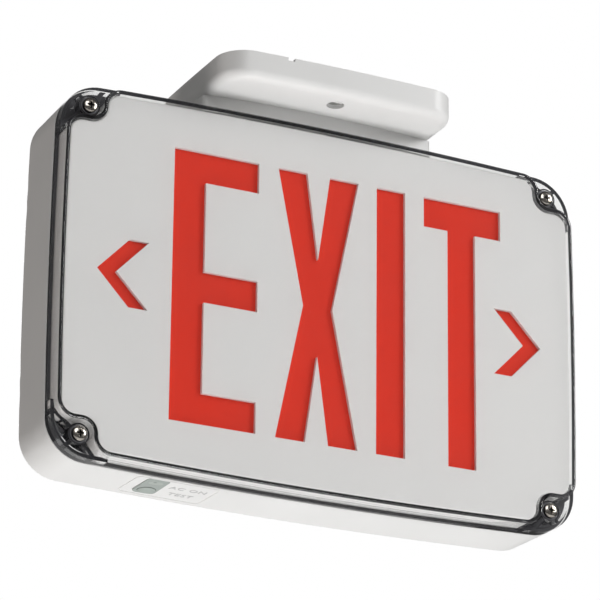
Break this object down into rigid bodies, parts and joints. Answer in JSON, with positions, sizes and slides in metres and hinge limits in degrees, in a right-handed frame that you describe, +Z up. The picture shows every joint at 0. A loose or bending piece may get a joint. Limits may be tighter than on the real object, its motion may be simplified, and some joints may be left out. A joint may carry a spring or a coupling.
{
  "type": "emergency exit light",
  "caption": "Ceiling-hung emergency exit light: drafted back box, white stencil with cut legend and arrows over a red diffuser, clear gasketed cover, corner screws, test button below.",
  "frame": {"origin": "centre of the crossbar's slot pattern, in the plane of the ceiling", "axes": "+X to the right as the legend is read, the legend faces -Y, +Z up to the ceiling"},
  "size_m": [0.309, 0.1, 0.2359],
  "materials": {
    "white": "fine satin moulding",
    "plate_white": "smooth satin",
    "seal": "matt",
    "steel": "zinc plated",
    "clear": "clear polycarbonate, gloss",
    "red": "translucent red, satin",
    "board": "solder mask",
    "lamp": "phosphor cap",
    "core": "varnished laminations",
    "can": "sleeved can",
    "dark": "moulded",
    "terminal": "moulded",
    "battery": "shrink sleeve",
    "pad": "soft satin",
    "window": "clear grey",
    "button": "soft satin",
    "green": "tinted epoxy",
    "screw": "stainless, bright"
  },
  "bodies": {
    "sign": {"canopy": "white", "mounting_neck": "white", "neck_seal": "seal", "crossbar": "steel", "threaded_nipple": "steel", "nipple_locknuts": "steel", "housing": "white", "housing_seal": "seal", "clear_cover": "clear", "face_plate": "plate_white", "red_diffuser": "red", "light_tray": "plate_white", "lamp_strips": "board", "lamps": "lamp", "control_board": "board", "transformer": "core", "capacitors": "can", "relay": "dark", "terminal_block": "terminal", "battery_pack": "battery", "battery_clips": "steel", "switch_pad": "pad", "indicator_window": "window", "switch_board": "board", "push_switch": "dark", "indicator_lamp": "green", "button_spring": "steel", "cover_screws": "screw", "screw_seals": "seal", "tray_screws": "screw", "board_screws": "screw", "clip_screws": "screw", "switch_board_screws": "screw"},
    "button": {"test_button": "button"}
  },
  "joints": [
    {"name": "test_press", "type": "slide", "parent": "sign", "child": "button", "axis": [0, 0, 1], "range_m": [0, 0.0015], "stiffness_N_per_m": 600, "deforming": ["button_spring"]}
  ]
}
